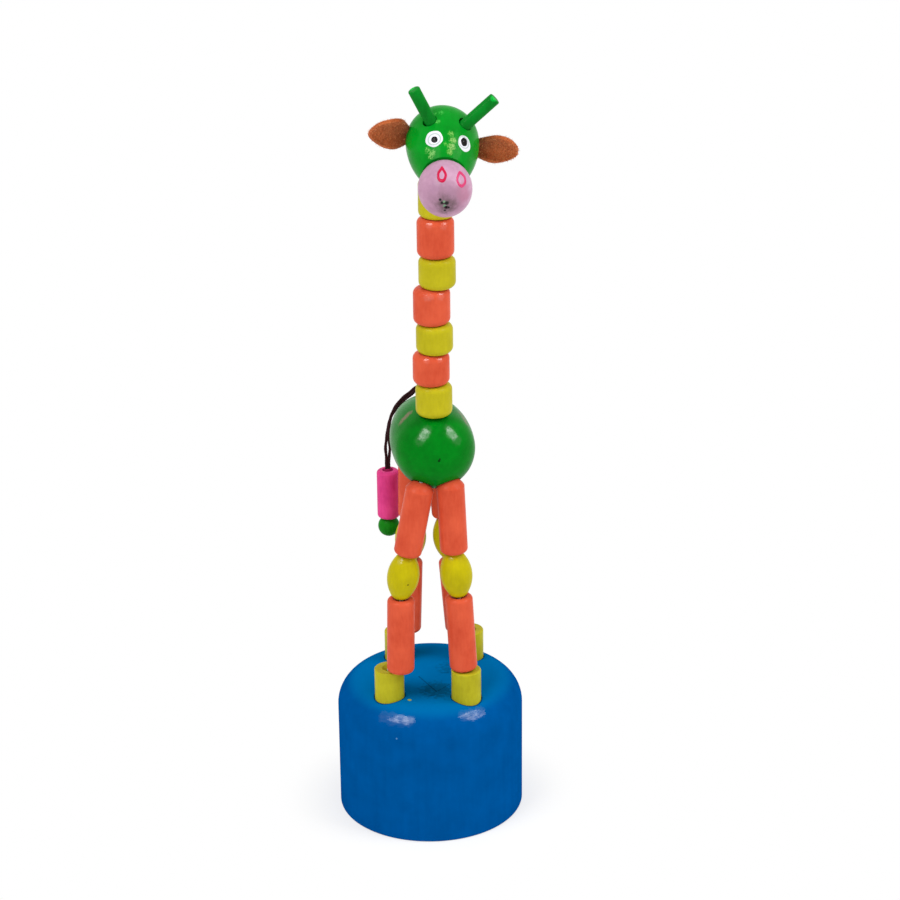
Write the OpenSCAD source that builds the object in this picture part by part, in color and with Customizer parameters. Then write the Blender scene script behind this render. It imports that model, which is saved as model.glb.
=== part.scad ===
// Wooden push-up giraffe: turned beads strung over a hollow drum with a sprung thumb button.
// The origin is the middle of the drum's flat underside, +Z is up and the giraffe faces -Y.

/* [Base drum] */
// Diameter of the drum
base_d = 48.8; // [44:0.1:60]
// Height of the drum
base_h = 36.7; // [34:0.1:48]
// Rounding of the drum's top edge
base_edge_r = 7.8; // [2:0.1:9]
// Rounding of the drum's bottom edge
base_foot_r = 0.6; // [0.3:0.1:1.5]
// Bore of the hollow underside
cavity_d = 38; // [37:0.5:40]
// Wood left above the hollow
top_wall = 9.2; // [8:0.1:13]

/* [Push button] */
// Running gap round the button
button_gap = 0.3; // [0.1:0.05:0.6]
// Thickness of the button
button_h = 8; // [6:0.5:9]
// How far the button sits up inside the drum
button_recess = 6; // [5:0.5:7]
// Depth of the thumb dish in the button
dish_depth = 1.5; // [0.5:0.1:2.5]
// Depth of the seat for the spring
spring_seat = 1.5; // [0.5:0.1:2.5]
// Mean diameter of the return spring
spring_d = 15; // [12:0.5:17]
// Wire of the return spring
wire_d = 1; // [0.8:0.05:1.2]
// Turns of the return spring
spring_turns = 4.5; // [4:0.5:5]

/* [Feet and leg beads] */
// Diameter of a foot
foot_d = 7.7; // [6.5:0.1:8.4]
// Height of a foot above the drum
foot_h = 8; // [6:0.1:11]
// Depth of the socket that a foot is glued in
foot_socket = 1.6; // [0.6:0.1:2]
// Diameter of the shin and thigh beads
limb_d = 7.1; // [6:0.1:7.6]
// Length of a shin bead
shin_l = 20.7; // [16:0.1:26]
// Length of a thigh bead
thigh_l = 20.3; // [16:0.1:26]
// Rounding of the shin and thigh beads' edges
limb_edge_r = 1.1; // [0.5:0.1:1.3]
// Largest diameter of a knee bead
knee_d = 8.2; // [7.4:0.1:9]
// Length of a knee bead
knee_l = 13.2; // [11:0.1:15]
// Radius of a knee bead's round ends
knee_end_r = 3; // [2.6:0.1:3.2]
// How deep a knee bead sits in the countersink of the next bead
knee_seat = 0.4; // [0.2:0.05:0.6]
// Radius of a thigh bead's round top end
hip_end_r = 3.95; // [3.8:0.05:4.3]

/* [Body] */
// Diameter of the body's front end
body_front_d = 20.5; // [18:0.1:23]
// Diameter of the body's rear end
body_rear_d = 18; // [16:0.1:20]
// Distance between the centres of its two ends
body_centres = 13; // [10:0.1:18]
// Radius of the long curve of its side
body_side_r = 40; // [30:1:80]
// Turn of the body to its own left
body_turn = 9; // [0:1:12]

/* [Neck] */
// Diameter of a neck bead
neck_d = 9.2; // [8:0.1:10]
// Rounding of a neck bead's edges
neck_edge_r = 1.6; // [0.8:0.1:2]
// Lengths of the neck beads from the body up
neck_l = [8.3, 8.2, 7.6, 9.3, 7.9, 10, 9.6]; // [6:0.1:12]
// How far each neck bead has slipped sideways on its string
neck_slip = [0, -0.7, 0.1, -0.6, 0.7, 0.3, 0.6]; // [-1:0.1:1]

/* [Head] */
// Diameter of the head
head_d = 17.7; // [16:0.1:20]
// Length of the head from its widest place to the muzzle
head_l = 12.3; // [10:0.1:15]
// Radius of the head where the muzzle is glued on
head_tip_r = 5.3; // [4.6:0.1:6]
// Turn of the head to its left
head_turn = 1.5; // [-10:0.5:15]
// Nod of the head
head_nod = 23.5; // [10:0.5:30]
// Tilt of the head to its left
head_roll = 9.5; // [-12:0.5:12]
// Diameter of the muzzle
muzzle_d = 12.9; // [11:0.1:14]
// Length of the muzzle
muzzle_l = 12.4; // [10:0.1:14]
// Diameter of a horn
horn_d = 3; // [2.4:0.1:3.4]
// Lengths of the left and the right horn outside the head
horn_l = [8.8, 9.4]; // [6:0.1:13]
// Depth of a horn's socket
horn_socket = 2.6; // [2:0.1:3.4]
// Leans of the left and the right horn away from each other
horn_spread = [36, 40]; // [25:1:50]
// Length of an ear
ear_l = 11; // [8:0.1:13]
// Width of an ear
ear_w = 7.4; // [5:0.1:8]
// Thickness of the ear leather
ear_t = 0.9; // [0.7:0.1:1.2]

/* [Tail] */
// Thickness of the twisted tail cord
cord_d = 2; // [1.6:0.1:2.2]
// Diameter of the long tail bead
tail_bead_d = 5.9; // [5:0.1:6.6]
// Length of the long tail bead
tail_bead_l = 13.4; // [10:0.1:16]
// Diameter of the ball at the end of the tail
tail_ball_d = 5.7; // [4:0.1:6.4]

/* [Strings] */
// Thickness of the strings
string_d = 1; // [0.7:0.05:1.2]
// Bore of the beads
bore_d = 2; // [1.8:0.05:2.2]

/* [Hidden] */
$fn = 64;

// Colours of the paint, leather, cord, steel and nylon
blue = [0, 0.33, 0.65];
yellow = [0.8, 0.78, 0.16];
orange = [0.89, 0.38, 0.26];
green = [0, 0.52, 0.1];
pink = [0.82, 0.6, 0.72];
magenta = [0.8, 0.24, 0.52];
brown = [0.58, 0.3, 0.17];
dark = [0.12, 0.06, 0.05];
steel = [0.72, 0.73, 0.75];
nylon = [0.92, 0.92, 0.88];
wood = [0.82, 0.66, 0.45];

// Small distance that a cut runs past a face
past = 1;
// Gap that keeps two moving faces apart
running = 0.1;
// Gap that glue fills round a foot and a horn
glue_gap = 0.1;
// Hair by which a cone runs past a face
hair = 0.01;

// Legs in the order front left, front right, rear left, rear right; left is -X
foot_x = [-10.5, 9.4, -8.1, 10.6];
ankle_x = [-7.5, 8.8, -5.7, 7.9];
knee_low_x = [-7, 7.5, -4.9, 6];
knee_high_x = [-5.8, 6.7, -4.2, 4.9];
foot_y = [-11.8, -13.2, 10.5, 10.5];
hip_x = [-2.2, 5.9, -3.9, 3.5];
// Each leg's beads stand in one upright plane, so that all four fold alike
leg_y = [-14, -13, 10, 10];

// Leg heights: each bead is carried by the one below it
foot_top = base_h + foot_h;
ankle_gap = 0.25;
// A knee bead turns about the centres of its round ends
knee_pivot_rise = knee_end_r - knee_seat;
shin_reach = shin_l + knee_pivot_rise;
// Round countersink that a knee bead rocks in
knee_clear = 0.4;
countersink_r = knee_end_r + knee_clear;
knee_reach = knee_l - 2 * knee_end_r;
thigh_reach = knee_pivot_rise + thigh_l - hip_end_r;
// Radius of the arc that would run smoothly from a knee bead's side into its round ends
knee_r = knee_d / 2;
knee_half = knee_reach / 2;
knee_smooth_r = (knee_r * knee_r + knee_half * knee_half - knee_end_r * knee_end_r)
  / (2 * (knee_r - knee_end_r));
// The side's arc is a little tighter, so that it crosses the ends cleanly before it is cut off
knee_side_r = 0.975 * knee_smooth_r;
knee_side_end = knee_half * knee_smooth_r / (knee_smooth_r - knee_end_r);

// Upper end of a bead of a given reach that leads from a point to a given x
function step_up(from, to_x, reach) =
  [to_x, from[1], from[2] + sqrt(reach * reach - pow(to_x - from[0], 2))];
function foot_at(i) = [foot_x[i], foot_y[i], base_h];
function ankle(i) = [ankle_x[i], leg_y[i], foot_top + ankle_gap];
function knee_low(i) = step_up(ankle(i), knee_low_x[i], shin_reach);
function knee_high(i) = step_up(knee_low(i), knee_high_x[i], knee_reach);
function hip(i) = step_up(knee_high(i), hip_x[i], thigh_reach);
// Radius and depth of the countersink in a foot's top, and the rounding of its edges
sink_r = 1.9;
sink_h = 0.9;
foot_edge_r = 0.35;

// The body lies over the hips, and each thigh's round top turns in a dish in it
body_front_r = body_front_d / 2;
body_rear_r = body_rear_d / 2;
body_axis = [-sin(body_turn), cos(body_turn), 0];
body_mid_x = 2;
body_front_y = -7.4;
// Height of the body's axis over the round tops of the thighs
body_rise = 6.2;
body_front = [body_mid_x, body_front_y, hip(0)[2] + hip_end_r + body_rise];
body_rear = body_front + body_centres * body_axis;
// Radius of the dish that a thigh's round end turns in
hip_clear = 0.35;
hip_dish_r = hip_end_r + hip_clear;

// Neck: a flat seat on the body carries the first bead
neck_y = -9;
neck_x = 2;
// Point in the body where the four leg strings meet, under the neck
string_meet = [neck_x, neck_y, body_front[2]];
// Radius of the hollow where the bores meet, and of the knot in it
meet_r = 1.5;
meet_knot_r = 1;
neck_r = neck_d / 2;
neck_seat = 0.5;
// Room round the first neck bead on the body and round the last one under the head
neck_seat_room = 0.3;
head_seat_room = 1;
function neck_z(i) = i == 0
  ? body_front[2] + body_front_r - neck_seat
  : neck_z(i - 1) + neck_l[i - 1];
// The neck stands slightly to the giraffe's left as it rises
neck_lean = 0.014;
function neck_at(i) =
  let (z = neck_z(i))
  [neck_x + neck_slip[i] + neck_lean * (z - neck_z(0)), neck_y, z];
neck_top = neck_z(7);

// Head: its centre stands over the last neck bead, which it rests on
head_r = head_d / 2;
head_seat = 0.5;
// How far the head sits to its left of the neck's foot
head_aside = 2.8;
head_mid_x = neck_x + head_aside;
head_mid_y = -7;
head_at = [head_mid_x, head_mid_y, neck_top + head_r - head_seat];
// The string enters the head straight above the last neck bead
head_string_x = neck_at(6)[0];
head_string_l = 7.5;
// How far a string ends short of the end of its bore
string_short = 0.5;
// Radius of the long arc from the head's widest place to the muzzle
head_drop = head_r - head_tip_r;
head_side_r = (head_l * head_l + head_drop * head_drop) / (2 * head_drop);
muzzle_r = muzzle_d / 2;
// The muzzle's back is cut flat where its radius is a little less than the head's
muzzle_inset = 0.8;
muzzle_back_r = head_tip_r - muzzle_inset;
muzzle_half = 0.58 * muzzle_l;
// Flat at the muzzle's tip, and the small hole that the lathe's pin left in it
muzzle_flat = 0.25;
tip_hole_d = 1;
tip_hole_h = 2;
muzzle_back = muzzle_half * sqrt(1 - pow(muzzle_back_r / muzzle_r, 2));
// Directions of the horns and ears from the middle of the head
horn_az = 66;
horn_el = 58;
horn_back = 13;
horn_edge_r = 0.3;
// Horn holes are drilled wide, and each horn leans to one side of its hole
horn_hole_room = 0.6;
horn_hole_aside = 0.2;
ear_sunk = 0.55;
ear_root = head_r - ear_sunk;
// Length of the slot that an ear is glued in, and the radius that its leather is cupped to
ear_slot = 3.2;
ear_slot_h = 2;
ear_slot_room = 0.5;
ear_cup_r = 14;
// The cupped leather lies this far back where it enters the slot
ear_curl = 0.11;
ear_slot_y = ear_curl * ear_l + ear_t / 4;

// Tail: the route of its cord, from the hole in the body's rear down to the long bead
tail_route = [
  [-1, 8.2, 105.2], [-1.6, 10.4, 108.5], [-1.9, 11.6, 110.3], [-2.6, 12.9, 111.3],
  [-3.8, 14.2, 111.2], [-5.4, 15.2, 109.6], [-6.9, 15.9, 107.1], [-8.2, 16.4, 104],
  [-9.2, 16.7, 100.4], [-9.9, 16.9, 96.6], [-10.2, 17, 92.6], [-10.3, 17, 88.6]
];
tail_end = tail_route[len(tail_route) - 1];
tail_gap = 0.3;
tail_hole_d = cord_d + 0.4;
tail_bead_edge_r = 0.9;
ball_flat = 0.3;
tail_bead_bore = cord_d + 0.9;

// The button's top face, and the knots of the strings in pockets under it
button_top = button_recess + button_h;
knot_d = 2.8;
knot_pocket_d = knot_d + 1;
knot_pocket_h = 2.6;
knot_z = button_recess + knot_pocket_h - knot_d / 2;
button_edge_r = 0.8;
// Share of the button's radius that its dish takes
dish_share = 0.72;
// Room round the spring in its seat
spring_room = 1;

// Return spring between the button and the top of the hollow
cavity_top = base_h - top_wall;
spring_low = button_top - spring_seat;
spring_ring_steps = 10;
spring_sides = 6;

// Turns the +Z axis to point along a direction
module along(dir) {
  rotate([0, acos(dir[2] / norm(dir)), atan2(dir[1], dir[0])]) children();
}

// Outline of a bead with rounded edges, from its axis outwards
module bead_outline(r, h, edge) {
  square([r - edge, h]);
  translate([0, edge]) square([r, h - 2 * edge]);
  translate([r - edge, edge]) intersection() {
    circle(edge);
    translate([0, -edge]) square([edge, edge]);
  }
  translate([r - edge, h - edge]) intersection() {
    circle(edge);
    square(edge);
  }
}

// A turned bead, drilled through unless its bore is 0
module bead(d, h, edge, bore) {
  if (bore > 0) rotate_extrude() difference() {
    bead_outline(d / 2, h, edge);
    translate([0, -past]) square([bore / 2, h + 2 * past]);
  }
  else rotate_extrude() bead_outline(d / 2, h, edge);
}

// A straight piece of string between two points
module string_between(p, q) {
  translate(p) along(q - p) cylinder(d = string_d, h = norm(q - p));
}

module base() {
  color(blue) difference() {
    rotate_extrude() difference() {
      union() {
        translate([0, base_foot_r])
          square([base_d / 2, base_h - base_edge_r - base_foot_r]);
        square([base_d / 2 - base_foot_r, base_h - base_edge_r]);
        translate([base_d / 2 - base_foot_r, base_foot_r]) intersection() {
          circle(base_foot_r);
          translate([0, -base_foot_r]) square(base_foot_r);
        }
        square([base_d / 2 - base_edge_r, base_h]);
        translate([base_d / 2 - base_edge_r, base_h - base_edge_r]) intersection() {
          circle(base_edge_r);
          square(base_edge_r);
        }
      }
      translate([0, -past]) square([cavity_d / 2, cavity_top + past]);
    }
    for (i = [0:3]) translate(foot_at(i)) {
      translate([0, 0, -foot_socket])
        cylinder(d = foot_d + 2 * glue_gap, h = foot_socket + past);
      translate([0, 0, -top_wall - past]) cylinder(d = bore_d, h = base_h);
    }
  }
}

// Thumb button: a disc that slides in the hollow, dished below and seated for the spring above
module push_button() {
  r = cavity_d / 2 - button_gap;
  dish_r = r * dish_share;
  ball_r = (dish_r * dish_r + dish_depth * dish_depth) / (2 * dish_depth);
  color(wood) difference() {
    translate([0, 0, button_recess]) bead(2 * r, button_h, button_edge_r, 0);
    translate([0, 0, button_recess + dish_depth - ball_r]) sphere(ball_r, $fn = 128);
    translate([0, 0, spring_low]) cylinder(d = spring_d + wire_d + spring_room, h = button_h);
    for (i = [0:3]) translate([foot_x[i], foot_y[i], 0]) {
      cylinder(d = bore_d, h = base_h);
      cylinder(d = knot_pocket_d, h = button_recess + knot_pocket_h);
    }
  }
}

// Knots that hold the four strings under the button
module string_knots() {
  color(nylon) for (i = [0:3])
    translate([foot_x[i], foot_y[i], knot_z]) sphere(d = knot_d);
}

// The strings between the button and the tops of the feet
module base_strings() {
  color(nylon) for (i = [0:3])
    string_between([foot_x[i], foot_y[i], button_recess + knot_pocket_h],
      foot_at(i) + [0, 0, foot_h - ankle_gap]);
}

// Points of the spring's wire
function spring_point(t) =
  let (angle = 360 * spring_turns * t, r = spring_d / 2)
  [r * cos(angle), r * sin(angle),
    spring_low + wire_d / 2 + t * (cavity_top - spring_low - wire_d)];
function ring(p, dir, r, sides) =
  let (f = dir / norm(dir),
    side = abs(f[2]) < 0.9 ? [0, 0, 1] : [1, 0, 0],
    u = cross(side, f) / norm(cross(side, f)),
    v = cross(f, u))
  [for (k = [0:sides - 1]) p + r * (cos(360 * k / sides) * u + sin(360 * k / sides) * v)];
// One closed tube swept along a list of points
module swept_tube(points, r, sides) {
  n = len(points);
  rings = [for (i = [0:n - 1])
    ring(points[i], points[min(i + 1, n - 1)] - points[max(i - 1, 0)], r, sides)];
  walls = [for (i = [0:n - 2], k = [0:sides - 1], half = [0:1])
    let (a = i * sides + k, b = i * sides + (k + 1) % sides)
    half == 0 ? [a, a + sides, b] : [b, a + sides, b + sides]];
  polyhedron(points = [for (one = rings) each one],
    faces = concat(walls, [[for (k = [0:sides - 1]) k]],
      [[for (k = [sides - 1:-1:0]) (n - 1) * sides + k]]));
}

spring_steps = ceil(spring_turns * spring_ring_steps);
spring_points = [for (i = [0:spring_steps]) spring_point(i / spring_steps)];
// Least gap between one turn of the spring and the next, measured on its points
spring_least_gap = min([for (i = [0:spring_steps - spring_ring_steps])
  norm(spring_points[i + spring_ring_steps] - spring_points[i])]) - wire_d;
module return_spring() {
  echo(spring_least_gap = spring_least_gap);
  color(steel) swept_tube(spring_points, wire_d / 2, spring_sides);
}

module foot(i) {
  color(yellow) translate(foot_at(i) - [0, 0, foot_socket]) difference() {
    bead(foot_d, foot_h + foot_socket, foot_edge_r, bore_d);
    translate([0, 0, foot_h + foot_socket - sink_h])
      cylinder(r1 = bore_d / 2, r2 = sink_r, h = sink_h + hair);
  }
}

// A long bead with a countersink for a knee bead at its upper end
module shin(i) {
  color(orange) translate(ankle(i)) along(knee_low(i) - ankle(i)) difference() {
    bead(limb_d, shin_l, limb_edge_r, bore_d);
    translate([0, 0, shin_l + knee_pivot_rise]) sphere(countersink_r);
  }
}

// An olive: two round ends joined by a long arc
module knee(i) {
  color(yellow) translate(knee_low(i)) along(knee_high(i) - knee_low(i)) difference() {
    rotate_extrude() translate([0, knee_half]) intersection() {
      translate([0, -knee_l]) square([knee_d, 2 * knee_l]);
      union() {
        translate([0, -knee_half]) circle(knee_end_r);
        translate([0, knee_half]) circle(knee_end_r);
        intersection() {
          translate([knee_r - knee_side_r, 0]) circle(knee_side_r, $fn = 160);
          translate([0, -knee_side_end]) square([knee_d, 2 * knee_side_end]);
        }
      }
    }
    translate([0, 0, -knee_l]) cylinder(d = bore_d, h = 3 * knee_l);
  }
}

// A long bead with a countersink below and a round end that turns in the body's dish
module thigh(i) {
  color(orange) translate(knee_high(i)) along(hip(i) - knee_high(i))
    translate([0, 0, knee_pivot_rise]) difference() {
      intersection() {
        bead(limb_d, thigh_l + limb_edge_r, limb_edge_r, bore_d);
        union() {
          cylinder(d = limb_d + past, h = thigh_l - hip_end_r);
          translate([0, 0, thigh_l - hip_end_r]) sphere(hip_end_r);
        }
      }
      translate([0, 0, -knee_pivot_rise]) sphere(countersink_r);
    }
}

module shin_string(i) {
  dir = (knee_low(i) - ankle(i)) / shin_reach;
  color(nylon) string_between(ankle(i), ankle(i) + dir * (shin_l - knee_seat - running));
}

module knee_string(i) {
  dir = (knee_high(i) - knee_low(i)) / knee_reach;
  color(nylon) string_between(knee_low(i) - dir * (knee_end_r - running),
    knee_high(i) + dir * (knee_end_r - running));
}

module thigh_string(i) {
  dir = (hip(i) - knee_high(i)) / thigh_reach;
  color(nylon) string_between(knee_high(i) + dir * (knee_end_r + running),
    hip(i) + dir * (hip_end_r - running));
}

// Outline of the body: a round front end, a smaller round rear end and a long side arc
module body_outline() {
  a = body_side_r - body_front_r;
  b = body_side_r - body_rear_r;
  side_y = (body_centres * body_centres + a * a - b * b) / (2 * body_centres);
  side_x = -sqrt(a * a - side_y * side_y);
  middle = [side_x, side_y];
  intersection() {
    translate([0, -body_front_d]) square([body_front_d, 3 * body_front_d]);
    union() {
      circle(body_front_r);
      translate([0, body_centres]) circle(body_rear_r);
      intersection() {
        translate(middle) circle(body_side_r, $fn = 256);
        polygon([middle, middle + 1.5 * body_side_r / a * -middle,
          middle + 1.5 * body_side_r / b * ([0, body_centres] - middle)]);
      }
    }
  }
}

module body() {
  exit_dir = tail_route[1] - tail_route[0];
  color(green) difference() {
    translate(body_front) along(body_axis) rotate_extrude() body_outline();
    // Flat seat and bore for the neck
    translate([neck_x, neck_y, neck_z(0)]) cylinder(r = neck_r + neck_seat_room, h = body_front_r);
    translate(string_meet) cylinder(d = bore_d, h = body_front_r);
    translate(string_meet) sphere(meet_r);
    // Dishes and bores for the four thighs
    for (i = [0:3]) {
      translate(hip(i)) sphere(hip_dish_r);
      translate(hip(i)) along(string_meet - hip(i))
        cylinder(d = bore_d, h = norm(string_meet - hip(i)));
    }
    // Hole that the tail cord is glued in
    translate(tail_route[0]) along(exit_dir) cylinder(d = tail_hole_d, h = body_rear_r);
  }
}

// The four leg strings meet inside the body and leave it through the neck
module body_strings() {
  color(nylon) {
    for (i = [0:3]) {
      dir = (string_meet - hip(i)) / norm(string_meet - hip(i));
      string_between(hip(i) + dir * (hip_dish_r + running), string_meet);
    }
    string_between(string_meet, [neck_x, neck_y, neck_z(0)]);
    translate(string_meet) sphere(meet_knot_r);
  }
}

module neck_bead(i) {
  color(i % 2 == 0 ? yellow : orange) translate(neck_at(i))
    bead(neck_d, neck_l[i], neck_edge_r, bore_d);
}

module neck_string(i) {
  color(nylon) string_between(neck_at(i), neck_at(i) + [0, 0, neck_l[i]]);
}

// Places children in the head's own frame, which faces -Y
module in_head() {
  translate(head_at) rotate([0, 0, head_turn]) rotate([head_nod, 0, 0])
    rotate([0, head_roll, 0]) children();
}

// Sides of the head: -1 is left and 1 is right
function horn_length(s) = horn_l[(s + 1) / 2];
function horn_dir(s) =
  let (spread = horn_spread[(s + 1) / 2])
  [s * sin(spread) * cos(horn_back), sin(horn_back), cos(spread) * cos(horn_back)];
function horn_foot(s) =
  [s * sin(horn_az) * cos(horn_el), -cos(horn_az) * cos(horn_el), sin(horn_el)] * head_r;

module head() {
  color(green) difference() {
    in_head() difference() {
      rotate([90, 0, 0]) rotate_extrude() {
        intersection() {
          circle(head_r);
          translate([0, -head_r]) square([head_r, head_r + hair]);
        }
        intersection() {
          translate([head_r - head_side_r, 0]) circle(head_side_r, $fn = 160);
          square([head_r, head_l]);
        }
      }
      for (s = [-1, 1]) {
        translate(horn_foot(s) - [horn_hole_aside, 0, 0]) along(horn_dir(s))
          translate([0, 0, -horn_socket - horn_hole_aside])
            cylinder(d = horn_d + horn_hole_room, h = horn_length(s));
        translate([s * ear_root, ear_slot_y, 0])
          cube([ear_slot_h, ear_t + ear_slot_room, ear_slot], center = true);
      }
    }
    // Flat seat on the last neck bead, with a bore for the string
    translate([head_string_x, neck_y, neck_top - head_r])
      cylinder(r = neck_r + head_seat_room, h = head_r + running);
    translate([head_string_x, neck_y, neck_top - past])
      cylinder(d = bore_d, h = past + head_string_l + string_short);
  }
}

module head_string() {
  foot = [head_string_x, neck_y, neck_top];
  color(nylon) string_between(foot, foot + [0, 0, head_string_l]);
}

// Muzzle: an oval bead, cut flat behind and drilled at its tip
module muzzle() {
  color(pink) in_head() translate([0, -head_l - muzzle_back, 0]) rotate([90, 0, 0])
    difference() {
    rotate_extrude() intersection() {
      scale([muzzle_r / muzzle_half, 1]) circle(muzzle_half, $fn = 128);
      translate([0, -muzzle_back])
        square([muzzle_r + past, muzzle_back + muzzle_half - muzzle_flat]);
    }
    translate([0, 0, muzzle_half - tip_hole_h]) cylinder(d = tip_hole_d, h = muzzle_half);
  }
}

module horn(s) {
  color(green) in_head() translate(horn_foot(s)) along(horn_dir(s))
    translate([0, 0, glue_gap - horn_socket])
      bead(horn_d, horn_length(s) + horn_socket, horn_edge_r, 0);
}

// Ear: a leaf of leather, cupped to the front, with its root glued in a slot
module ear(s) {
  leaf_r = (ear_l * ear_l / 4 + ear_w * ear_w / 4) / ear_w;
  color(brown) in_head() translate([s * (ear_root + ear_l / 2), 0, 0]) intersection() {
    translate([0, ear_cup_r, 0]) difference() {
      sphere(ear_cup_r, $fn = 128);
      sphere(ear_cup_r - ear_t, $fn = 128);
    }
    rotate([90, 0, 0]) linear_extrude(ear_cup_r, center = true) intersection() {
      translate([0, leaf_r - ear_w / 2]) circle(leaf_r, $fn = 128);
      translate([0, ear_w / 2 - leaf_r]) circle(leaf_r, $fn = 128);
    }
  }
}

module tail_cord() {
  color(dark) swept_tube(tail_route, cord_d / 2, 8);
}

module tail_bead() {
  color(magenta) translate(tail_end - [0, 0, tail_gap + tail_bead_l])
    bead(tail_bead_d, tail_bead_l, tail_bead_edge_r, tail_bead_bore);
}

module tail_ball() {
  color(green) translate(tail_end - [0, 0, tail_gap + tail_bead_l + tail_ball_d / 2 - ball_flat])
    difference() {
      sphere(d = tail_ball_d);
      translate([0, 0, tail_ball_d / 2 - ball_flat]) cylinder(d = tail_ball_d, h = tail_ball_d);
    }
}

base();
push_button();
return_spring();
string_knots();
base_strings();
foot(0);  // foot_front_left
foot(1);  // foot_front_right
foot(2);  // foot_rear_left
foot(3);  // foot_rear_right
shin(0);  // shin_front_left
shin(1);  // shin_front_right
shin(2);  // shin_rear_left
shin(3);  // shin_rear_right
knee(0);  // knee_front_left
knee(1);  // knee_front_right
knee(2);  // knee_rear_left
knee(3);  // knee_rear_right
thigh(0);  // thigh_front_left
thigh(1);  // thigh_front_right
thigh(2);  // thigh_rear_left
thigh(3);  // thigh_rear_right
shin_string(0);  // shin_string_front_left
shin_string(1);  // shin_string_front_right
shin_string(2);  // shin_string_rear_left
shin_string(3);  // shin_string_rear_right
knee_string(0);  // knee_string_front_left
knee_string(1);  // knee_string_front_right
knee_string(2);  // knee_string_rear_left
knee_string(3);  // knee_string_rear_right
thigh_string(0);  // thigh_string_front_left
thigh_string(1);  // thigh_string_front_right
thigh_string(2);  // thigh_string_rear_left
thigh_string(3);  // thigh_string_rear_right
body();
body_strings();
neck_bead(0);  // neck_bead_1
neck_bead(1);  // neck_bead_2
neck_bead(2);  // neck_bead_3
neck_bead(3);  // neck_bead_4
neck_bead(4);  // neck_bead_5
neck_bead(5);  // neck_bead_6
neck_bead(6);  // neck_bead_7
neck_string(0);  // neck_string_1
neck_string(1);  // neck_string_2
neck_string(2);  // neck_string_3
neck_string(3);  // neck_string_4
neck_string(4);  // neck_string_5
neck_string(5);  // neck_string_6
neck_string(6);  // neck_string_7
head();
head_string();
muzzle();
horn(-1);  // horn_left
horn(1);  // horn_right
ear(-1);  // ear_left
ear(1);  // ear_right
tail_cord();
tail_bead();
tail_ball();
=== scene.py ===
import math
import random

import bmesh
import bpy
from mathutils import Matrix, Vector
from mathutils.bvhtree import BVHTree


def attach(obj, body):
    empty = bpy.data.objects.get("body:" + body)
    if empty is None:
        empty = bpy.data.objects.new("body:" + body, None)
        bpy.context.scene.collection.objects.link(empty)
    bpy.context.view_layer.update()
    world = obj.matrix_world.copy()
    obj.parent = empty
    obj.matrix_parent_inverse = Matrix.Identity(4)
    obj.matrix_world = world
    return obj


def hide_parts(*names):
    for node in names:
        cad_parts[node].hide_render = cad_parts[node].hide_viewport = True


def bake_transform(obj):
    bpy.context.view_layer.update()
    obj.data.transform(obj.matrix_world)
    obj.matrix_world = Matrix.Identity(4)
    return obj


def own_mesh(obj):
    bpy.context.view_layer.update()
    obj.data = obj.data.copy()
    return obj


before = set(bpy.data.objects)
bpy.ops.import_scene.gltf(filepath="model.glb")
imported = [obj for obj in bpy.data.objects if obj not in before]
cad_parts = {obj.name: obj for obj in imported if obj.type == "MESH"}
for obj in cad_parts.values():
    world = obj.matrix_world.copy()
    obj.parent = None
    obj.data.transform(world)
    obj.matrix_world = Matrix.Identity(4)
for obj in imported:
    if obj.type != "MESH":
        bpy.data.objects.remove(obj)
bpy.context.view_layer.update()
MM = 0.001

# ---- Camera -------------------------------------------------------------------
# The picture was taken from in front and above, at about 22 degrees down, with a
# long lens and the camera turned by a fraction of a degree.
DOWN, ASIDE, LEAN = 0.383097, 0.009931, -0.010472  # radians
PICTURE, FOCAL = 900, 2535.778  # pixels
SENSOR = 36  # mm
CAMERA_AT = (0, -0.6, 0.3422816)  # metres
ahead = Vector((math.sin(ASIDE) * math.cos(DOWN), math.cos(ASIDE) * math.cos(DOWN), -math.sin(DOWN)))
level = Vector((math.cos(ASIDE), -math.sin(ASIDE), 0))
above = level.cross(ahead)
cam_right = math.cos(LEAN) * level + math.sin(LEAN) * above
cam_up = -math.sin(LEAN) * level + math.cos(LEAN) * above
camera = bpy.data.objects.new("camera", bpy.data.cameras.new("camera"))
bpy.context.collection.objects.link(camera)
camera.data.sensor_width = SENSOR
camera.data.lens = FOCAL * SENSOR / PICTURE
camera.data.clip_start = 0.05
turn = Matrix((cam_right, cam_up, -ahead)).transposed().to_4x4()
camera.matrix_world = Matrix.Translation(CAMERA_AT) @ turn
bpy.context.scene.camera = camera


def picture_ray(u, v):
    """The way from the camera through a point of the picture, in pixels from its upper left."""
    return (ahead * FOCAL + cam_right * (u - PICTURE / 2) - cam_up * (v - PICTURE / 2)).normalized()


# ---- Tail cord ----------------------------------------------------------------
# Two dark brown strands in a slow twist, glued in a hole in the body's rear. The
# cord rises, falls over the rump and hangs down into the long tail bead.
def link_mesh(name, points, faces, smooth=True):
    """A mesh object of points in metres and faces."""
    data = bpy.data.meshes.new(name)
    data.from_pydata([tuple(p) for p in points], [], faces)
    data.update()
    if smooth:
        data.polygons.foreach_set("use_smooth", [True] * len(data.polygons))
    obj = bpy.data.objects.new(name, data)
    bpy.context.collection.objects.link(obj)
    return obj


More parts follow.
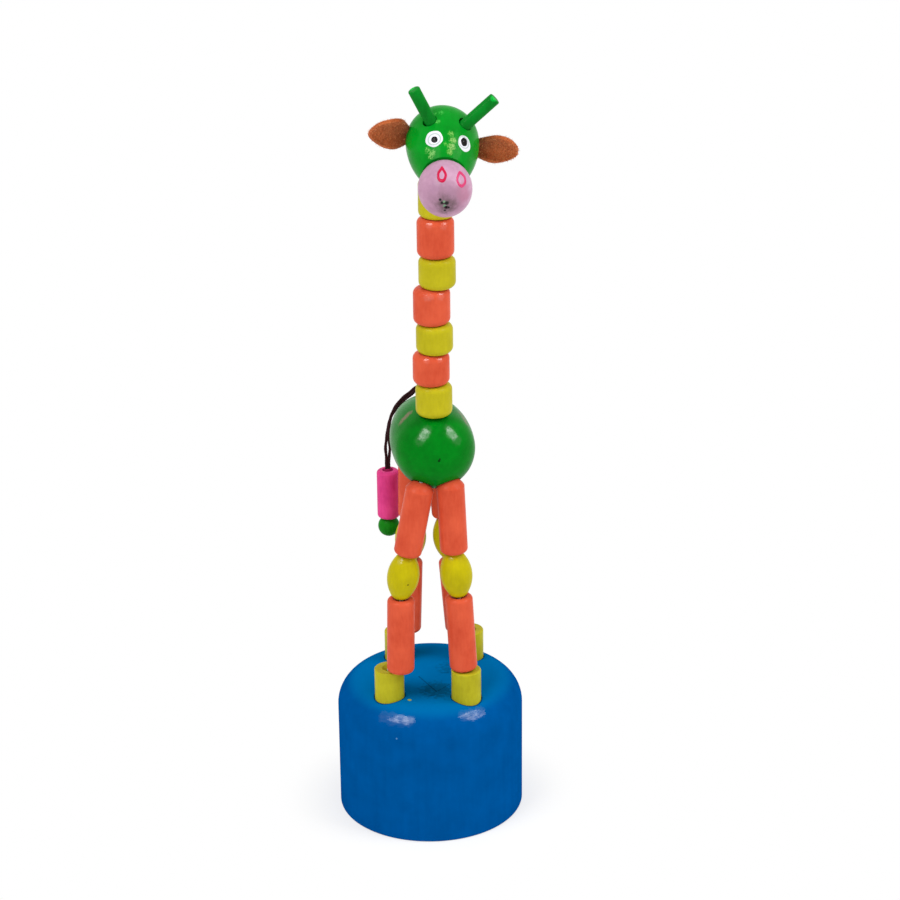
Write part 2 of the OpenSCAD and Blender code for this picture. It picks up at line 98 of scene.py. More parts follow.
def smooth_path(points, step, parts=16):
    """Catmull-Rom curve through the points, resampled at an even step."""
    p = [2 * points[0] - points[1]] + list(points) + [2 * points[-1] - points[-2]]
    fine = []
    for i in range(1, len(p) - 2):
        for k in range(parts):
            t = k / parts
            fine.append(0.5 * (2 * p[i] + (p[i + 1] - p[i - 1]) * t
                               + (2 * p[i - 1] - 5 * p[i] + 4 * p[i + 1] - p[i + 2]) * t * t
                               + (3 * p[i] - p[i - 1] - 3 * p[i + 1] + p[i + 2]) * t * t * t))
    fine.append(p[-2].copy())
    total = sum((fine[i + 1] - fine[i]).length for i in range(len(fine) - 1))
    count = max(2, round(total / step))
    even, walked, target = [fine[0].copy()], 0.0, total / count
    for i in range(len(fine) - 1):
        span = (fine[i + 1] - fine[i]).length
        while walked + span >= target * len(even) - 1e-12 and len(even) < count:
            even.append(fine[i].lerp(fine[i + 1], (target * len(even) - walked) / span))
        walked += span
    even.append(fine[-1].copy())
    return even


def direction_at(path, i):
    """The way that a path runs at one of its points."""
    return path[min(i + 1, len(path) - 1)] - path[max(i - 1, 0)]


def tube(points, radii, sides, points_out, faces_out):
    """Adds one closed tube through the points to a mesh's lists, carried along without twisting."""
    first, side = len(points_out), None
    for i, (p, r) in enumerate(zip(points, radii)):
        go = direction_at(points, i).normalized()
        if side is None:
            side = go.orthogonal().normalized()
        side = (side - go * side.dot(go)).normalized()
        other = go.cross(side)
        for k in range(sides):
            a = 2 * math.pi * k / sides
            points_out.append(p + r * (math.cos(a) * side + math.sin(a) * other))
    for i in range(len(points) - 1):
        for k in range(sides):
            a, b = first + i * sides + k, first + i * sides + (k + 1) % sides
            faces_out.append((a, b, b + sides, a + sides))
    faces_out.append(tuple(first + k for k in range(sides - 1, -1, -1)))
    last = first + (len(points) - 1) * sides
    faces_out.append(tuple(last + k for k in range(sides)))


# From inside the hole over the rump to the middle of the bead's mouth, in mm
tail_route = [Vector(p) * MM for p in (
    (-1, 8.2, 105.2), (-1.6, 10.4, 108.5), (-1.75, 11.3, 110.6), (-1.65, 12.1, 112.2), (-1.95, 12.7, 112.8),
    (-2.6, 13.2, 112.3), (-3.95, 14, 110.8), (-6.1, 15, 108.6), (-7.8, 15.7, 106.3), (-9, 16.2, 103.9),
    (-9.65, 16.6, 101.4), (-10, 16.8, 99), (-10.15, 16.9, 96.6), (-10.2, 17, 94.2), (-10.25, 17, 91.8),
    (-10.3, 17, 88.6))]
cord_path = smooth_path(tail_route, 0.2 * MM)
# Radius of a strand, how far it lies from the cord's middle, and how much further by the bead, in mm
STRAND_R, STRAND_OUT, PARTED = 0.4, 0.34, 0.23
# Half a turn of the twist, where the strands part, and over how much, as shares of the cord's length
HALF_TURN, BY_BEAD, PARTED_OVER = 0.48, 0.84, 0.055
cord_points, cord_faces = [], []
for strand in (0, math.pi):
    line, thick = [], []
    for i, p in enumerate(cord_path):
        far = i / (len(cord_path) - 1)
        go = direction_at(cord_path, i)
        beside = go.cross(ahead).normalized()
        behind = beside.cross(go).normalized()
        apart = STRAND_OUT + PARTED * math.exp(-((far - BY_BEAD) / PARTED_OVER) ** 2)
        # The twist is slow, and slower still past that place
        a = strand + math.pi * (min(far, BY_BEAD) + 0.3 * max(0.0, far - BY_BEAD) - 0.36) / HALF_TURN
        line.append(p + apart * MM * (math.cos(a) * beside + math.sin(a) * behind))
        # The yarn is uneven, in long and in short waves
        thick.append((STRAND_R + 0.035 * math.sin(61 * far + strand)
                      + 0.025 * math.sin(290 * far + strand)) * MM)
    tube(line, thick, 10, cord_points, cord_faces)
tail_cord = link_mesh("tail_cord_twisted", cord_points, cord_faces)


def colour(r, g, b):
    """Linear values of a colour written as it shows on a screen."""
    return [c / 12.92 if c <= 0.04045 else ((c + 0.055) / 1.055) ** 2.4 for c in (r, g, b)] + [1]


def node(tree, kind, **sockets):
    """A node with its settings and inputs; a socket in an input is linked."""
    made = tree.nodes.new(kind)
    for key, value in sockets.items():
        if key.startswith("set_"):
            setattr(made, key[4:], value)
            continue
        target = made.inputs[int(key[1:])] if key[0] == "i" and key[1:].isdigit() else made.inputs[key]
        if isinstance(value, bpy.types.NodeSocket):
            tree.links.new(value, target)
        else:
            target.default_value = value
    return made


def new_material(name, **values):
    """A node material with its shader's plain values: (material, tree, shader, point of the surface)."""
    material = bpy.data.materials.new(name)
    material.use_nodes = True
    tree = material.node_tree
    tree.nodes.clear()
    shader = tree.nodes.new("ShaderNodeBsdfPrincipled")
    node(tree, "ShaderNodeOutputMaterial", Surface=shader.outputs[0])
    for key, value in values.items():
        shader.inputs[key.replace("_", " ")].default_value = value
    return material, tree, shader, node(tree, "ShaderNodeTexCoord").outputs["Object"]


def noise(tree, where, scale, detail, roughness=0.5):
    """The value of a noise texture."""
    return node(tree, "ShaderNodeTexNoise", Vector=where, Scale=scale, Detail=detail,
                Roughness=roughness).outputs[0]


def two_tone(tree, share, bright, deep):
    """A colour between two, by a share that comes from a texture."""
    return node(tree, "ShaderNodeMix", set_data_type="RGBA", Factor=share,
                A=colour(*bright), B=colour(*deep)).outputs["Result"]


def maths(tree, operation, *values, **more):
    """The result of a Math node."""
    inputs = {"i%d" % i: value for i, value in enumerate(values)}
    return node(tree, "ShaderNodeMath", set_operation=operation, **inputs, **more).outputs[0]


def put_on(tree, shader, tone, height, strength, distance):
    """Gives a shader its colour and its relief."""
    tree.links.new(tone, shader.inputs["Base Color"])
    bump = node(tree, "ShaderNodeBump", Strength=strength, Distance=distance, Height=height)
    tree.links.new(bump.outputs[0], shader.inputs["Normal"])


cotton, tree, shader, where = new_material(
    "dark twisted cotton", Roughness=0.85, Sheen_Weight=0.05, Specular_IOR_Level=0.1)
yarn = noise(tree, where, 2600.0, 3.0, 0.6)
put_on(tree, shader, two_tone(tree, yarn, (0.05, 0.015, 0.02), (0.24, 0.08, 0.1)),
       maths(tree, "ADD", yarn, noise(tree, where, 420.0, 2.0)), 0.6, 0.0002)
tail_cord.data.materials.append(cotton)
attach(tail_cord, "body")
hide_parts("tail_cord")


# ---- Floor, world and lamps -----------------------------------------------------
# A white sweep under even light, with two tall soft boxes in front, left and right,
# whose reflections show on the body's front and on the drum's rounded edge.
def looked_at(tree):
    """1 where the camera or a reflection looks straight at something."""
    path = node(tree, "ShaderNodeLightPath")
    return maths(tree, "MAXIMUM", path.outputs["Is Camera Ray"], path.outputs["Is Glossy Ray"])


def ramp(tree, value, low, high, to_low=0.0, to_high=1.0, smooth=True):
    """A value between low and high made one between 0 and 1, or the two given."""
    ends = {"From Min": low, "From Max": high, "To Min": to_low, "To Max": to_high}
    return node(tree, "ShaderNodeMapRange", set_interpolation_type="SMOOTHSTEP" if smooth else "LINEAR",
                Value=value, **ends).outputs[0]


def vector_maths(tree, operation, *values, **more):
    """The result of a Vector Math node: a number where the operation gives one, and else a vector."""
    inputs = {"i%d" % i: value for i, value in enumerate(values)}
    made = node(tree, "ShaderNodeVectorMath", set_operation=operation, **inputs, **more)
    return made.outputs["Value" if operation in ("LENGTH", "DISTANCE", "DOT_PRODUCT") else "Vector"]


floor = link_mesh("floor", [(-4, -2.5, 0), (4, -2.5, 0), (4, 5, 0), (-4, 5, 0)], [(0, 1, 2, 3)],
                  smooth=False)
floor_paint = bpy.data.materials.new("white sweep")
floor_paint.use_nodes = True
tree = floor_paint.node_tree
tree.nodes.clear()
matt = node(tree, "ShaderNodeBsdfDiffuse", Color=(0.95, 0.95, 0.95, 1))
glow = node(tree, "ShaderNodeEmission", Color=(1, 1, 1, 1), Strength=1.0)
# The drum's shadow shows close to it, and further off the sweep is plain white
off = vector_maths(tree, "LENGTH", node(tree, "ShaderNodeTexCoord").outputs["Object"])
pale = ramp(tree, off, 24 * MM, 42 * MM, 0.6, 1.0)
both = node(tree, "ShaderNodeMixShader", Fac=maths(tree, "MULTIPLY", looked_at(tree), pale),
            i1=matt.outputs[0], i2=glow.outputs[0])
node(tree, "ShaderNodeOutputMaterial", Surface=both.outputs[0])
floor.data.materials.append(floor_paint)

world = bpy.data.worlds.new("studio")
bpy.context.scene.world = world
world.use_nodes = True
tree = world.node_tree
tree.nodes.clear()
fill, shown = [node(tree, "ShaderNodeBackground", Color=(1, 1, 1, 1), Strength=light)
               for light in (0.62, 1.0)]
mixed = node(tree, "ShaderNodeMixShader", Fac=looked_at(tree), i1=fill.outputs[0], i2=shown.outputs[0])
node(tree, "ShaderNodeOutputWorld", Surface=mixed.outputs[0])

# Each box's width, height and distance from the point that it is aimed at, in metres, and its power
BOX_WIDE, BOX_HIGH, BOX_OFF, BOX_POWER = 0.34, 0.42, 0.75, 2.7
aim = Vector((0, -0.005, 0.09))
for name, way in (("left_box", (-0.45, -0.41, 0.79)), ("right_box", (0.68, -0.2, 0.7))):
    lamp = bpy.data.lights.new(name, "AREA")
    lamp.shape, lamp.size, lamp.size_y, lamp.energy = "RECTANGLE", BOX_WIDE, BOX_HIGH, BOX_POWER
    obj = bpy.data.objects.new(name, lamp)
    bpy.context.collection.objects.link(obj)
    obj.location = aim + Vector(way).normalized() * BOX_OFF
    obj.rotation_euler = (aim - obj.location).to_track_quat("-Z", "Y").to_euler()

bpy.context.scene.view_settings.view_transform = "Standard"


# ---- Paint on turned wood -------------------------------------------------------
# Every wooden piece is dipped in gloss or satin paint, so thin that the grain and
# the turning marks still show as low relief. Handling has rubbed it here and there.
def new_group(name, inputs, outputs):
    """A shader node group with its sockets: (group, what it is given, what it puts out)."""
    group = bpy.data.node_groups.new(name, "ShaderNodeTree")
    for label, kind, default in inputs:
        made = group.interface.new_socket(label, in_out="INPUT", socket_type="NodeSocket" + kind)
        if default is not None:
            made.default_value = default
    for label, kind in outputs:
        group.interface.new_socket(label, in_out="OUTPUT", socket_type="NodeSocket" + kind)
    return group, group.nodes.new("NodeGroupInput").outputs, group.nodes.new("NodeGroupOutput").inputs


def grain_group():
    """Long fibres and fine pores that telegraph through the paint."""
    group, given, result = new_group(
        "grain_under_paint",
        [("Vector", "Vector", None), ("Stretch", "Vector", (1500, 1500, 120)), ("Fine", "Float", 1.0)],
        [("Height", "Float"), ("Tone", "Float")])
    long = vector_maths(group, "MULTIPLY", given["Vector"], given["Stretch"])
    fibre = noise(group, long, 1.0, 3.0, 0.55)
    fine = maths(group, "MULTIPLY", noise(group, given["Vector"], 1700.0, 2.0), given["Fine"])
    group.links.new(maths(group, "ADD", fibre, fine), result["Height"])
    tone = maths(group, "MULTIPLY_ADD", fibre, 0.45, noise(group, given["Vector"], 160.0, 4.0, 0.6))
    group.links.new(ramp(group, tone, 0.5, 0.95, smooth=False), result["Tone"])
    return group


def rubbed_group():
    """A patch about a point where specks of paint have been rubbed or stained."""
    group, given, result = new_group(
        "rubbed_patch",
        [("Vector", "Vector", None), ("Centre", "Vector", None), ("Reach", "Float", 0.003),
         ("Speck", "Float", 1500.0), ("Cover", "Float", 0.5), ("Soft", "Float", 0.0)],
        [("Mask", "Float")])
    off = vector_maths(group, "DISTANCE", given["Vector"], given["Centre"])
    fall = ramp(group, maths(group, "DIVIDE", off, given["Reach"]), 1.0, 0.2)
    speck = noise(group, given["Vector"], given["Speck"], 3.0, 0.65)
    edge = ramp(group, maths(group, "MULTIPLY_ADD", fall, given["Cover"], speck),
                maths(group, "SUBTRACT", 0.86, given["Soft"]), maths(group, "ADD", 0.98, given["Soft"]))
    group.links.new(maths(group, "MULTIPLY", edge, fall), result["Mask"])
    return group


def scratch_group():
    """A thin scratch from one point to another, broken along its way."""
    group, given, result = new_group(
        "scratch",
        [("Vector", "Vector", None), ("From", "Vector", None), ("To", "Vector", None),
         ("Width", "Float", 0.0002)],
        [("Mask", "Float")])
    line = vector_maths(group, "SUBTRACT", given["To"], given["From"])
    reach = vector_maths(group, "SUBTRACT", given["Vector"], given["From"])
    along = maths(group, "DIVIDE", vector_maths(group, "DOT_PRODUCT", reach, line),
                  vector_maths(group, "DOT_PRODUCT", line, line), set_use_clamp=True)
    near = vector_maths(group, "DISTANCE", reach, vector_maths(group, "SCALE", line, Scale=along))
    wide = maths(group, "MULTIPLY", given["Width"], noise(group, given["Vector"], 900.0, 2.0))
    group.links.new(ramp(group, maths(group, "DIVIDE", near, wide), 2.0, 0.6), result["Mask"])
    return group


grain, rubbed, scratch = grain_group(), rubbed_group(), scratch_group()


def cover(tree, under, mask, over, strength=1.0):
    """Lays a colour over another where the mask is."""
    return node(tree, "ShaderNodeMix", set_data_type="RGBA", Factor=maths(tree, "MULTIPLY", mask, strength),
                A=under, B=over).outputs["Result"]


def rubbed_at(tree, where, centre, reach, much, speck, soft=0.0):
    """The mask of a rubbed patch, whose reach is in mm."""
    return node(tree, "ShaderNodeGroup", set_node_tree=rubbed, Vector=where, Centre=centre,
                Reach=reach * MM, Speck=speck, Cover=much, Soft=soft).outputs[0]


def painted(name, bright, deep, rough=0.3, coat=0.02, relief=0.00003, stretch=(1500, 1500, 350),
            marks=(), gloss=()):
    """Paint over turned wood: (material, tree, shader, point of the surface, grain).

    marks are (centre, reach in mm, cover, colour, speck, strength, softness), and gloss is the places
    (centre, reach in mm, cover, speck, coat) where handling has polished it.
    """
    material, tree, shader, where = new_material(
        name, Specular_IOR_Level=0.03, Coat_Weight=coat, Coat_Roughness=0.12)
    wood = node(tree, "ShaderNodeGroup", set_node_tree=grain, Vector=where, Stretch=stretch, Fine=0.25)
    tone = two_tone(tree, wood.outputs["Tone"], bright, deep)
    for centre, reach, much, stain, speck, strength, *soft in marks:
        patch = rubbed_at(tree, where, centre, reach, much, speck, *soft)
        tone = cover(tree, tone, patch, colour(*stain), strength)
    put_on(tree, shader, tone, wood.outputs["Height"], 1.0, relief)
    dull = ramp(tree, wood.outputs["Tone"], 0.0, 1.0, rough - 0.05, rough + 0.07, smooth=False)
    tree.links.new(dull, shader.inputs["Roughness"])
    worn_smooth = None
    for centre, reach, much, speck, weight in gloss:
        patch = rubbed_at(tree, where, centre, reach, much, speck)
        worn_smooth = maths(tree, "MULTIPLY_ADD", patch, weight, worn_smooth or coat)
    if worn_smooth:
        tree.links.new(worn_smooth, shader.inputs["Coat Weight"])
    return material, tree, shader, where, wood


def dress(names, material):
    """Gives CAD nodes a finished material."""
    for name in names:
        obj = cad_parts[name]
        if not obj.material_slots:
            obj.data.materials.append(material)
        for one in obj.material_slots:
            one.material = material


def skin_of(name):
    """A search tree of a CAD node's surface."""
    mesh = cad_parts[name].data
    return BVHTree.FromPolygons([v.co.copy() for v in mesh.vertices],
                                [tuple(p.vertices) for p in mesh.polygons])


def seen(skin, u, v):
    """What the camera sees of a skin at a point of the picture: (point, outward normal)."""
    go = picture_ray(u, v)
    point, normal, _, _ = skin.ray_cast(camera.location, go)
    if point is None:
        reach = skin.find_nearest(camera.location)[3]
        point, normal, _, _ = skin.find_nearest(camera.location + go * reach)
    return point, (normal if normal.dot(go) < 0 else -normal)


def places(skin, rows, *common):
    """Rows that begin with a point of the picture, made to begin with the skin's point there.

    What is common to all the rows is added at their ends.
    """
    return [(seen(skin, u, v)[0], *rest, *common) for u, v, *rest in rows]


# Middle of each foot: x and y in mm
FEET = {"front_left": (-10.5, -11.8), "front_right": (9.4, -13.2),
        "rear_left": (-8.1, 10.5), "rear_right": (10.6, 10.5)}
left_knee, right_knee = skin_of("knee_front_left"), skin_of("knee_front_right")
foot_yellow = painted("yellow gloss on feet", (0.74, 0.72, 0.15), (0.66, 0.63, 0.12))[0]
knee_yellow = painted(
    "yellow gloss on knees", (0.77, 0.72, 0.05), (0.69, 0.64, 0.04), coat=0.04,
    marks=places(left_knee, [(408, 585, 0.4, 0.9, (0.2, 0.17, 0.03), 2500, 0.9)]),
    gloss=places(left_knee, [(399.5, 561.5, 1.6)], 0.7, 1900, 0.9)
    + places(right_knee, [(451, 557, 1.8)], 0.7, 1900, 0.9))[0]
yellow = painted("yellow gloss", (0.75, 0.71, 0.12), (0.68, 0.64, 0.09), coat=0.03)[0]
polished = []
for i, rows in ((6, ((429, 225.5, 1.6), (444, 226.5, 1.8))),
                (4, ((426.5, 298.5, 1.6), (431, 297.5, 1.6), (441, 297, 1.8))),
                (2, ((426.5, 361, 1.4), (440, 360, 1.4)))):
    polished += places(skin_of("neck_bead_%d" % i), rows, 0.72, 1900, 0.9)
orange = painted("orange gloss", (0.85, 0.355, 0.235), (0.78, 0.29, 0.185), coat=0.07, gloss=polished)[0]
dress(["foot_" + leg for leg in FEET], foot_yellow)
dress(["knee_" + leg for leg in FEET], knee_yellow)
dress([bead + leg for bead in ("shin_", "thigh_") for leg in FEET], orange)
dress(["neck_bead_%d" % i for i in (1, 3, 5, 7)], yellow)
dress(["neck_bead_%d" % i for i in (2, 4, 6)], orange)

# ---- Drum -----------------------------------------------------------------------
# A turned block, hollowed from below and painted satin blue outside. Its hollow is
# bare wood with overspray at the mouth, and its top is dull and scuffed.
drum_skin = skin_of("base")
# Painted light on the top, the hollow's wall and ceiling and a foot's painted shadow lie between these
# heights or radii
LIT_TOP_Z, WALL_R = (34 * MM, 36.6 * MM), (19.25 * MM, 19.05 * MM)
CEILING_Z, FOOT_SHADOW_R = (28.0 * MM, 27.6 * MM), (4.35 * MM, 4.0 * MM)
blue, tree, shader, where, wood = painted(
    "blue satin", (0.0, 0.325, 0.6), (0.0, 0.295, 0.55), rough=0.34, coat=0.0, stretch=(700, 700, 60),
    gloss=places(drum_skin, ((384, 717, 3), (392, 719, 3.5), (401, 720.5, 3.5), (409, 721, 3),
                             (464, 715.5, 3), (472, 714.5, 3.5), (480, 711.5, 3)), 0.7, 1500, 0.6))
shader.inputs["Specular IOR Level"].default_value = 0.0
paint_colour = shader.inputs["Base Color"].links[0].from_socket
apart = node(tree, "ShaderNodeSeparateXYZ", Vector=where)
height = apart.outputs["Z"]
# The top is painted lighter and greener than the side: painted light on the face that looks up
paint_colour = cover(tree, paint_colour, ramp(tree, height, *LIT_TOP_Z), colour(0.0, 0.42, 0.67), 0.85)
# Two broad darker patches on the top between the feet, a small yellow speck and a small pale speck
for centre, reach, much, stain, speck, strength in places(drum_skin, (
        (437, 690, 10, 0.52, (0.02, 0.27, 0.38), 900, 0.6),
        (452, 668, 9, 0.46, (0.02, 0.3, 0.45), 900, 0.5),
        (409.5, 700, 1.0, 0.8, (0.6, 0.62, 0.15), 1500, 1.0),
        (396.7, 738.7, 0.42, 0.9, (0.4, 0.58, 0.75), 900, 0.8))):
    patch = rubbed_at(tree, where, centre, reach, much, speck)
    paint_colour = cover(tree, paint_colour, patch, colour(*stain), strength)
for a, b, width in (((418.8, 676.3), (436.5, 691.5), 0.2), ((434, 693), (452, 683), 0.14),
                    ((441, 673), (458, 671), 0.12), ((424, 697), (446, 693), 0.12)):
    line = node(tree, "ShaderNodeGroup", set_node_tree=scratch, Vector=where, From=seen(drum_skin, *a)[0],
                To=seen(drum_skin, *b)[0], Width=width * MM)
    paint_colour = cover(tree, paint_colour, line.outputs[0], colour(0.02, 0.16, 0.26), 0.75)
flat = node(tree, "ShaderNodeCombineXYZ", X=apart.outputs["X"], Y=apart.outputs["Y"]).outputs[0]
# A painted contact shadow round each foot, where it stands on the drum
for x, y in FEET.values():
    off = vector_maths(tree, "DISTANCE", flat, (x * MM, y * MM, 0))
    paint_colour = cover(tree, paint_colour, ramp(tree, off, *FOOT_SHADOW_R), colour(0.0, 0.1, 0.2), 0.8)
# Bare wood in the hollow, above the ragged edge of the overspray
radius = vector_maths(tree, "LENGTH", flat)
hollow = maths(tree, "MULTIPLY", ramp(tree, radius, *WALL_R, smooth=False),
               ramp(tree, height, *CEILING_Z, smooth=False))
spray = maths(tree, "MULTIPLY_ADD", noise(tree, where, 300.0, 3.0), -4 * MM, height)
bare = maths(tree, "MULTIPLY", hollow, ramp(tree, spray, -0.6 * MM, 1.4 * MM, smooth=False))
paint_colour = cover(tree, paint_colour, bare,
                     two_tone(tree, wood.outputs["Tone"], (0.84, 0.7, 0.5), (0.72, 0.55, 0.35)))
tree.links.new(paint_colour, shader.inputs["Base Color"])
# Turning marks run round the drum and break its highlights into streaks
round_it = maths(tree, "ARCTAN2", apart.outputs["Y"], apart.outputs["X"])
rings_at = node(tree, "ShaderNodeCombineXYZ", X=maths(tree, "MULTIPLY", round_it, 0.009),
                Y=radius, Z=height).outputs[0]
turned = noise(tree, rings_at, 1300.0, 3.0, 0.6)
tree.links.new(maths(tree, "MULTIPLY_ADD", turned, 1.1, wood.outputs["Height"]),
               shader.inputs["Normal"].links[0].from_node.inputs["Height"])
polish = shader.inputs["Coat Weight"].links[0].from_socket
streaked = maths(tree, "MULTIPLY", polish, ramp(tree, turned, 0.36, 0.58, 0.4))
tree.links.new(streaked, shader.inputs["Coat Weight"])
dress(["base"], blue)

# ---- Thumb button, spring and strings ---------------------------------------------
# A bare wooden disc with turning rings, pushed down by a steel spring. Nylon strings
# are knotted under it and run up through every bead.
disc, tree, shader, where = new_material("bare turned wood", Roughness=0.62)
wood = node(tree, "ShaderNodeGroup", set_node_tree=grain, Vector=where, Stretch=(120, 1400, 1400), Fine=0.4)
rings = node(tree, "ShaderNodeTexWave", set_wave_type="RINGS", set_rings_direction="Z", Vector=where,
             Scale=260.0, Distortion=1.5, Detail=2.0).outputs["Fac"]
tone = two_tone(tree, wood.outputs["Tone"], (0.86, 0.72, 0.52), (0.72, 0.54, 0.34))
put_on(tree, shader, cover(tree, tone, rings, colour(0.62, 0.45, 0.28), 0.25),
       maths(tree, "ADD", wood.outputs["Height"], rings), 1.0, 0.00006)
dress(["push_button"], disc)

wire, tree, shader, where = new_material("drawn spring wire", Metallic=1.0)
drawn = noise(tree, where, 900.0, 3.0)
tree.links.new(two_tone(tree, drawn, (0.78, 0.78, 0.8), (0.6, 0.6, 0.62)), shader.inputs["Base Color"])
tree.links.new(ramp(tree, drawn, 0.0, 1.0, 0.22, 0.42, smooth=False), shader.inputs["Roughness"])

# The spring stands on the button in its seat and closes up against the drum's ceiling. Sizes in mm
SPRING_LOW, SPRING_TOP, SPRING_R, WIRE_R, TURNS, STEPS = 12.5, 27.5, 7.5, 0.5, 4.5, 162
coil = []
for i in range(STEPS + 1):
    t, a = i / STEPS, 2 * math.pi * TURNS * i / STEPS
    coil.append(Vector((SPRING_R * math.cos(a), SPRING_R * math.sin(a),
                        SPRING_LOW + WIRE_R + t * (SPRING_TOP - SPRING_LOW - 2 * WIRE_R))) * MM)
spring_points, spring_faces = [], []
tube(coil, [WIRE_R * MM] * len(coil), 12, spring_points, spring_faces)
spring = link_mesh("return_spring_coil", spring_points, spring_faces)
spring.data.materials.append(wire)
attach(spring, "drum")
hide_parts("return_spring")
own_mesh(spring)

nylon, tree, shader, where = new_material("nylon string", Roughness=0.45)
lay = node(tree, "ShaderNodeTexWave", Vector=where, Scale=700.0, Distortion=3.0, Detail=2.0,
           set_bands_direction="DIAGONAL").outputs["Fac"]
put_on(tree, shader, two_tone(tree, lay, (0.93, 0.93, 0.9), (0.78, 0.78, 0.74)), lay, 0.6, 0.0001)
dress([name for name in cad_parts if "string" in name], nylon)


# Radius in mm: a hair more than that of the straight strings in the beads, whose ends it covers
STRING_R = 0.52


def string_piece(name, points):
    """A closed length of string through the points, which are in mm."""
    path = smooth_path([Vector(p) * MM for p in points], 0.4 * MM)
    ring_points, ring_faces = [], []
    tube(path, [STRING_R * MM] * len(path), 10, ring_points, ring_faces)
    obj = link_mesh(name, ring_points, ring_faces)
    obj.data.materials.append(nylon)
    return obj


def string_across(name, before, at, after, shift=(0, 0, 0)):
    """The string where it passes from one bead to the next, curving between their bores.

    before and after are the ways that it runs in the two beads, at is where it leaves the first, and
    shift is how far aside the second bead's bore stands, in mm.
    """
    reach = 3.0
    low_way, high_way = Vector(before).normalized(), Vector(after).normalized()
    low_at, high_at = Vector(at), Vector(at) + Vector(shift)
    obj = string_piece(name, [low_at - reach * low_way, low_at - 0.5 * reach * low_way,
                              high_at + 0.5 * reach * high_way, high_at + reach * high_way])
    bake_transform(obj)


# Middle of each leg's ankle, lower and upper knee joint and hip, in mm
LEG_JOINTS = {
    "front_left": ((-7.5, -14, 44.95), (-7, -14, 68.24), (-5.8, -14, 75.34), (-2.2, -14, 93.95)),
    "front_right": ((8.8, -13, 44.95), (7.5, -13, 68.21), (6.7, -13, 75.37), (5.9, -13, 94.3)),
    "rear_left": ((-5.7, 10, 44.95), (-4.9, 10, 68.24), (-4.2, 10, 75.4), (-3.9, 10, 94.35)),
    "rear_right": ((7.9, 10, 44.95), (6, 10, 68.17), (4.9, 10, 75.29), (3.5, 10, 94.19))}
# Height of the feet's tops, and where the strings meet in the body
FOOT_TOP, STRINGS_MEET, UP = 44.7, Vector((2, -9, 104.1)), (0, 0, 1)
for leg, joints in LEG_JOINTS.items():
    ankle, knee_low, knee_high, hip = [Vector(joint) for joint in joints]
    shin_way, knee_way, thigh_way = knee_low - ankle, knee_high - knee_low, hip - knee_high
    foot = Vector((*FEET[leg], FOOT_TOP))
    string_across("string_ankle_" + leg, UP, foot, shin_way, ankle - foot)
    string_across("string_knee_low_" + leg, shin_way, knee_low, knee_way)
    string_across("string_knee_high_" + leg, knee_way, knee_high, thigh_way)
    if leg == "rear_left":
        string_across("string_hip_" + leg, thigh_way, hip, STRINGS_MEET - hip)
# Where the string enters each neck bead and the head: x and z in mm
NECK_STEPS = ((2, 113.85), (1.416, 122.15), (2.331, 130.35), (1.737, 137.95),
              (3.168, 147.25), (2.878, 155.15), (3.318, 165.15), (3.318, 174.75))
for i, (x, z) in enumerate(NECK_STEPS):
    under = NECK_STEPS[max(0, i - 1)][0]
    string_across("string_neck_%d" % (i + 1),
                  UP, (under, STRINGS_MEET.y, z), UP, (x - under, 0, 0))

# Each string ends under the button in a knot with a short tail: a trefoil that isn't quite closed
KNOT_Z, KNOT_SIZE, KNOT_STEPS, KNOT_OPEN = 7.2, 0.3, 52, 3
for i, ((x, y), turned_by) in enumerate(zip(FEET.values(), (0.3, 1.7, 3.0, 4.4))):
    mid = Vector((x, y, KNOT_Z))
    twist = Matrix.Rotation(turned_by, 3, "Z")
    loop = [mid + Vector((0, 0, 2)), mid + Vector((0, 0, 1.1))]
    for k in range(KNOT_STEPS - KNOT_OPEN):
        t = 2 * math.pi * k / KNOT_STEPS
        loop.append(mid + KNOT_SIZE * (twist @ Vector((
            math.sin(t) + 2 * math.sin(2 * t), math.cos(t) - 2 * math.cos(2 * t), -1.6 * math.sin(3 * t)))))
    loop.append(loop[-1] + twist @ Vector((0.35, 0, -1.2)))
    loop.append(loop[-1] + Vector((0.1, 0.2, -1.1)))
    knot = string_piece("knot_%d" % (i + 1), loop)
    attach(knot, "button")
    if i == 0:
        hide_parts("string_knots")

# The strings from the button up through the drum to the feet
STRING_LOW, STRING_TOP = 8.6, 44.45
STRING_LONG = STRING_TOP - STRING_LOW
for i, (x, y) in enumerate(FEET.values()):
    route = [(x, y, STRING_LOW + k * STRING_LONG / 6) for k in range(7)]
    piece = string_piece("base_string_%d" % (i + 1), route)
    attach(piece, "drum")
    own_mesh(piece)
    if i == 0:
        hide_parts("base_strings")

# ---- Body -------------------------------------------------------------------------
# A large turned egg, dipped in gloss green, with a small dark nick on its front and
# rubbed, pinkish places on its shoulders.
body_skin = skin_of("body")
green_body = painted(
    "green gloss body", (0.0, 0.49, 0.09), (0.0, 0.41, 0.07), rough=0.25, stretch=(900, 90, 900),
    gloss=places(body_skin, ((419.5, 441, 3.2), (424.5, 433.5, 3.6), (427, 429, 2.8),
                             (457, 440, 3.2), (451.5, 433, 3.6), (448.5, 428.5, 2.6)), 0.5, 3400, 0.62),
    marks=places(body_skin, ((439, 461, 0.55, 0.9, (0.01, 0.1, 0.03), 2500, 0.95),
                             (439.8, 459.2, 0.4, 0.9, (0.01, 0.1, 0.03), 2500, 0.9)))
    + places(body_skin, ((401, 422), (404, 418.5), (406.5, 416), (409.5, 413),
                         (461, 414), (464, 418.5), (466.5, 423)),
             2.3, 0.56, (0.5, 0.44, 0.36), 1700, 0.65))[0]
dress(["body"], green_body)

